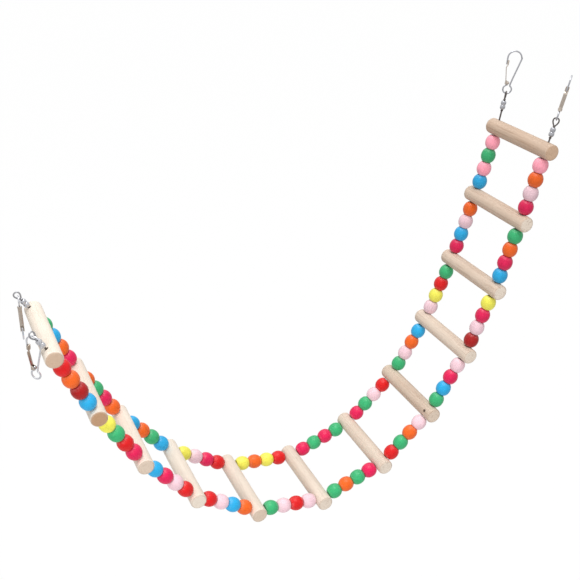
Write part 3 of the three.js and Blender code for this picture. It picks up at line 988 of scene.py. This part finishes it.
class LADDER_OT_rings(Builder, bpy.types.Operator):
    """Dark pear-shaped ring that turns in each barrel and carries the hook"""

    bl_idname = "ladder.rings"
    bl_label = "Swivel rings"

    def build(self, sizes, colours):
        material = kept("dark_steel", steel_material, colours)
        shape = ring_shape(sizes)
        for name in WIRE_ENDS:
            neck, outward, hook_axes, _ = snap_frame(name, sizes)
            axes = basis(unit(np.cross(outward, hook_axes[:, 0])), outward)
            # Painted light: the rings at the left end are mixed towards lighter steel
            add_piece(
                f"swivel_ring_{name}", shape, axes, neck, f"swivel_{name}", material, "dark_steel",
                [f"ring_{name}"], tone=0.0 if name.endswith("right") else 0.8,
            )


# Snap hooks

HOOK_LENGTH = 34.5
HOOK_BOW_WIDTH = 12.0
HOOK_LOOP_WIDTH = 7.9
HOOK_WAIST_WIDTH = 4.3
HOOK_WAIST_HEIGHT = 1.5
HOOK_NOSE_LENGTH = 5.4
HOOK_NOSE_INSET = 0.4
HOOK_STEP = 0.55
NOSE_DOME = 0.35
EYE_DIAMETER = 2.6
EYE_BORE = 1.5
EYE_THICKNESS = 1.2
EYE_EDGE = 0.18

# How far under the eye the wire straightens, and how far it runs into the eye's wall
EYE_APPROACH = 0.2
EYE_OVERLAP = 0.35

# Where the bow and the small loop end, as turns in degrees round their centres
BOW_ENDS = (180, -8)
LOOP_ENDS = (40, -220)


def hook_radii(sizes):
    """Radii of the small loop and of the bow to the wire's middle, and the distance between their centres."""
    wire = sizes.hook_wire
    loop = (HOOK_LOOP_WIDTH - wire) / 2
    bow = (HOOK_BOW_WIDTH - wire) / 2
    return loop, bow, HOOK_LENGTH - wire - loop - bow


def eye_centre(sizes):
    loop, _, _ = hook_radii(sizes)
    return -(HOOK_WAIST_WIDTH - EYE_DIAMETER) / 2, loop + HOOK_WAIST_HEIGHT


def nose_end(sizes):
    _, bow, height = hook_radii(sizes)
    return HOOK_NOSE_INSET - bow, height - HOOK_NOSE_LENGTH


def arc(centre_x, centre_y, radius, start, end, count):
    turn = np.radians(np.linspace(start, end, count))
    return np.stack([centre_x + radius * np.cos(turn), centre_y + radius * np.sin(turn), 0 * turn], -1)


def smoothed(path, spacing):
    """Points evenly spaced along a Catmull-Rom curve through the path, whose spans run from b to c."""
    a = np.concatenate([2 * path[:1] - path[1:2], path[:-2]])
    b, c = path[:-1], path[1:]
    d = np.concatenate([path[2:], 2 * path[-1:] - path[-2:-1]])
    t = np.linspace(0, 1, 16, endpoint=False)[:, None, None]
    curve = (2 * b + (c - a) * t + (2 * a - 5 * b + 4 * c - d) * t**2 + (3 * b - a - 3 * c + d) * t**3) / 2
    curve = np.concatenate([curve.transpose(1, 0, 2).reshape(-1, 3), path[-1:]])
    run = np.concatenate([[0], np.cumsum(np.linalg.norm(np.diff(curve, axis=0), axis=1))])
    even = np.linspace(0, run[-1], max(int(run[-1] / spacing), 2))
    return np.stack([np.interp(even, run, curve[:, i]) for i in range(3)], -1)


def hook_shape(sizes):
    """The hook's wire in the XY plane: nose, bow, one leg to the small loop and round it, up to the gate's
    eye, which is a flat ring about Z."""
    loop, bow, height = hook_radii(sizes)
    wire = sizes.hook_wire
    eye_x, eye_y = eye_centre(sizes)
    waist = (HOOK_WAIST_WIDTH - wire) / 2
    route = np.concatenate([
        [[*nose_end(sizes), 0]],
        arc(0, height, bow, *BOW_ENDS, 13),
        [[waist, eye_y, 0]],
        arc(0, 0, loop, *LOOP_ENDS, 15),
        [[eye_x, eye_y - EYE_DIAMETER / 2 - EYE_APPROACH, 0], [eye_x, eye_y - EYE_BORE / 2 - EYE_OVERLAP, 0]],
    ])
    path = smoothed(route, HOOK_STEP)
    bar = carried(path, Z_AXIS, circle_outline(18) * wire / 2, wire * NOSE_DOME)
    half, outer, bore, edge = EYE_THICKNESS / 2, EYE_DIAMETER / 2, EYE_BORE / 2, EYE_EDGE
    eye, faces = revolved([
        [bore, edge - half], [bore + edge, -half], [outer - edge, -half], [outer, edge - half],
        [outer, half - edge], [outer - edge, half], [bore + edge, half], [bore, half - edge],
    ], 32, closed=True)
    eye = eye[:, [0, 2, 1]] + (eye_x, eye_y, 0)
    return joined(bar, (eye, faces))


class LADDER_OT_hooks(Builder, bpy.types.Operator):
    """Bright wire snap hook on each ring"""

    bl_idname = "ladder.hooks"
    bl_label = "Snap hooks"

    def build(self, sizes, colours):
        material = kept("bright_steel", steel_material, colours)
        shape = hook_shape(sizes)
        for name in WIRE_ENDS:
            _, _, axes, origin = snap_frame(name, sizes)
            # Painted light: the hooks at the left end are mixed towards lighter steel
            add_piece(
                f"snap_hook_{name}", shape, axes, origin, f"snap_{name}", material, "bright_steel",
                [f"hook_{name}"], tone=0.0 if name.endswith("right") else 0.65,
            )


# Gates

GATE_PIN = 0.9
GATE_OVERLAP = 3.0
GATE_STEP = 1.4
GATE_SLACK = 0.1
GATE_CHEEK_REACH = 0.9
GATE_BEND = 1.2
CHEEK_ROUND = 0.5
LIP_ROUND = 0.15

# Rounding of a sheet's edges, as a share of its thickness
SHEET_EDGE = 0.42

# Radius of the pin's heads, as a share of the pin's diameter, and profile of their domes, outside the sheet
PIN_HEAD = 0.85
PIN_DOME = ((1.0, 0.0), (0.7, 0.18), (0.0, 0.25))

# A plate's edge: how far each row is from the middle of the plate, and its height between the faces
PLATE_ROWS = ((0.0, -0.5), (0.93, -0.5), (1.0, -0.32), (1.0, 0.32), (0.93, 0.5), (0.0, 0.5))


def plate(corners, level, thickness, rounding):
    """A flat plate square to Z at that level, with bent corners and faces closed to the outline's middle."""
    corner = np.array(corners, float)
    outline = bends(np.roll(corner, 1, axis=0), corner, np.roll(corner, -1, axis=0), rounding, 5)
    middle = corner.mean(axis=0)
    return grid(np.stack([
        np.insert((outline - middle) * share + middle, 2, level + thickness * high, axis=1)
        for share, high in PLATE_ROWS
    ]))


def gate_shape(sizes):
    """A sheet tongue from its foot beside the eye to the inner side of the nose, with a cheek on each side of
    the eye, a lip on each side of the nose, and a pin with domed heads."""
    wire, sheet, width = sizes.hook_wire, sizes.gate_sheet, sizes.gate_width
    eye_x, eye_y = eye_centre(sizes)
    nose_x, nose_y = nose_end(sizes)
    foot_x, foot_y = eye_x - EYE_DIAMETER / 2 - SEAT_GAP - sheet / 2, eye_y - EYE_DIAMETER / 2
    foot_top = eye_y + EYE_DIAMETER / 2 + HOLE_GAP
    inner_x = nose_x + wire / 2 + SEAT_GAP + GATE_SLACK + sheet / 2
    bend_y = nose_y - wire / 2 - HOLE_GAP - GATE_STEP
    top = nose_y + GATE_OVERLAP
    path = rounded_path([
        [foot_x, foot_y, 0], [foot_x, foot_top, 0], [nose_x + sheet / 2, bend_y, 0],
        [inner_x, bend_y + GATE_STEP, 0], [inner_x, top, 0],
    ], GATE_BEND)
    tongue = carried(path, Z_AXIS, plate_outline(width, sheet, sheet * SHEET_EDGE))
    low_x, high_x = foot_x - sheet / 2, eye_x + GATE_CHEEK_REACH
    cheek = [
        [low_x, foot_y], [low_x, foot_top + sheet],
        [high_x, eye_y + GATE_CHEEK_REACH], [high_x, eye_y - GATE_CHEEK_REACH],
    ]
    side_x = inner_x + sheet / 2
    lip = [[nose_x, nose_y], [inner_x, nose_y - sheet], [side_x, nose_y], [side_x, top], [nose_x, top]]
    plates = [
        plate(corners, level, sheet, rounding)
        for corners, rounding in ((cheek, CHEEK_ROUND), (lip, LIP_ROUND))
        for level in (sheet / 2 - width / 2, width / 2 - sheet / 2)
    ]
    dome = np.array([[GATE_PIN * PIN_HEAD * share, width / 2 + height] for share, height in PIN_DOME])
    shank = [[GATE_PIN / 2, -width / 2], [GATE_PIN / 2, width / 2]]
    pin, faces = revolved(np.concatenate([(dome * (1, -1))[::-1], shank, dome]), 24)
    pin = pin[:, [0, 2, 1]] + (eye_x, eye_y, 0)
    return joined(tongue, *plates, (pin, faces))


class LADDER_OT_gates(Builder, bpy.types.Operator):
    """Sheet steel gate on each hook"""

    bl_idname = "ladder.gates"
    bl_label = "Hook gates"

    def build(self, sizes, colours):
        material = kept("sheet_steel", steel_material, colours)
        shape = gate_shape(sizes)
        for name in WIRE_ENDS:
            _, _, axes, origin = snap_frame(name, sizes)
            add_piece(
                f"snap_gate_{name}", shape, axes, origin, f"latch_{name}", material, "sheet_steel",
                [f"gate_{name}"],
            )


# Stage

FLOOR_DROP = 0.45
FLOOR_REACH = 12.0
FLOOR_GREY = (0.7, 0.7, 0.7)
FLOOR_ROUGHNESS = 0.9
FLOOR_GLOW = 1.015

# How much of the floor's glow the camera and reflections see, and how bright the surround is as a light
GLOW_SEEN = 0.97
GLOW_REFLECTED = 0.4
AMBIENT = 0.5

# Each lamp: its place from the middle of the ladder and its width, in metres, and its power in watts
LAMPS = {
    "key": ((0.0, -0.1, 1.3), 0.8, 9.4),
    "fill": ((-0.7, -1.3, 0.35), 1.0, 10.0),
    "back": ((0.2, 0.8, 1.1), 1.0, 4.5),
}


class LADDER_OT_stage(Builder, bpy.types.Operator):
    """Pale floor, soft lamps, white surround and the camera"""

    bl_idname = "ladder.stage"
    bl_label = "Stage"

    def build(self, sizes, colours):
        scene = bpy.context.scene
        scene.view_settings.view_transform = "Standard"
        low, high = np.array(CAD_BOX)
        middle = (low + high) / 2

        camera = bpy.data.cameras.new("camera")
        camera.sensor_width = SENSOR
        camera.lens = FOCAL_PIXELS / FRAME_PIXELS * SENSOR
        camera.clip_start = 0.01
        scene.camera = add_object("camera", camera)
        right, down = unit(np.array(CAMERA_RIGHT)), np.array(CAMERA_DOWN)
        axes = basis(right, -unit(down - np.dot(down, right) * right))
        scene.camera.matrix_world = Matrix.Translation(CAMERA_PLACE) @ Matrix(axes.tolist()).to_4x4()

        corners = np.array([(-1, -1, 0), (1, -1, 0), (1, 1, 0), (-1, 1, 0)]) * FLOOR_REACH
        mesh = bpy.data.meshes.new("floor")
        mesh.from_pydata(corners + (*middle[:2], low[2] - FLOOR_DROP), [], [range(4)])
        floor = add_object("floor", mesh)
        material, shader = new_material("floor")
        shader.set(base_color=FLOOR_GREY, roughness=FLOOR_ROUGHNESS)
        seen = shader.rays("Is Camera Ray") * GLOW_SEEN + shader.rays("Is Glossy Ray") * GLOW_REFLECTED
        glow = shader.node("ShaderNodeEmission", {"Color": WHITE, "Strength": FLOOR_GLOW})
        sockets = (seen, shader.surface.outputs[0], glow.outputs[0])
        mix = shader.node("ShaderNodeMixShader", enumerate(sockets))
        shader.feed(shader.tree.nodes["Material Output"].inputs[0], mix.outputs[0])
        mesh.materials.append(material)

        scene.world = bpy.data.worlds.new("surround")
        scene.world.use_nodes = True
        shader = Shader(scene.world.node_tree, "Background")
        seen = shader.math("MAXIMUM", shader.rays("Is Camera Ray"), shader.rays("Is Glossy Ray"))
        shader.set(color=WHITE, strength=AMBIENT + (1 - AMBIENT) * seen)

        for name, (away, size, power) in LAMPS.items():
            lamp = bpy.data.lights.new(name, "AREA")
            lamp.shape = "DISK"
            lamp.size = size
            lamp.energy = power
            holder = add_object(name, lamp)
            holder.visible_glossy = name != "fill"
            turn = Vector(away).to_track_quat("Z", "Y").to_matrix().to_4x4()
            holder.matrix_world = Matrix.Translation(middle + away) @ turn


OPERATORS = [
    LADDER_OT_stage, LADDER_OT_rungs, LADDER_OT_beads, LADDER_OT_side_wires, LADDER_OT_barrels,
    LADDER_OT_rings, LADDER_OT_hooks, LADDER_OT_gates,
]


class LADDER_PT_pieces(bpy.types.Panel):
    """Lists the ladder's pieces, sizes and colours"""

    bl_idname = "LADDER_PT_pieces"
    bl_label = "Bird ladder"
    bl_space_type = "VIEW_3D"
    bl_region_type = "UI"
    bl_category = "Ladder"

    def draw(self, context):
        column = self.layout.column()
        for operator in OPERATORS:
            column.operator(operator.bl_idname)
        for group in (context.scene.ladder_sizes, context.scene.ladder_colours):
            for name in type(group).__annotations__:
                column.prop(group, name)


CLASSES = [LadderSizes, LadderColours, *OPERATORS, LADDER_PT_pieces]


def register():
    for each in CLASSES:
        bpy.utils.register_class(each)
    bpy.types.Scene.ladder_sizes = PointerProperty(type=LadderSizes)
    bpy.types.Scene.ladder_colours = PointerProperty(type=LadderColours)


def unregister():
    del bpy.types.Scene.ladder_colours
    del bpy.types.Scene.ladder_sizes
    for each in reversed(CLASSES):
        bpy.utils.unregister_class(each)


def main():
    register()
    for operator in OPERATORS:
        group, name = operator.bl_idname.split(".")
        getattr(getattr(bpy.ops, group), name)()


if __name__ == "__main__":
    main()
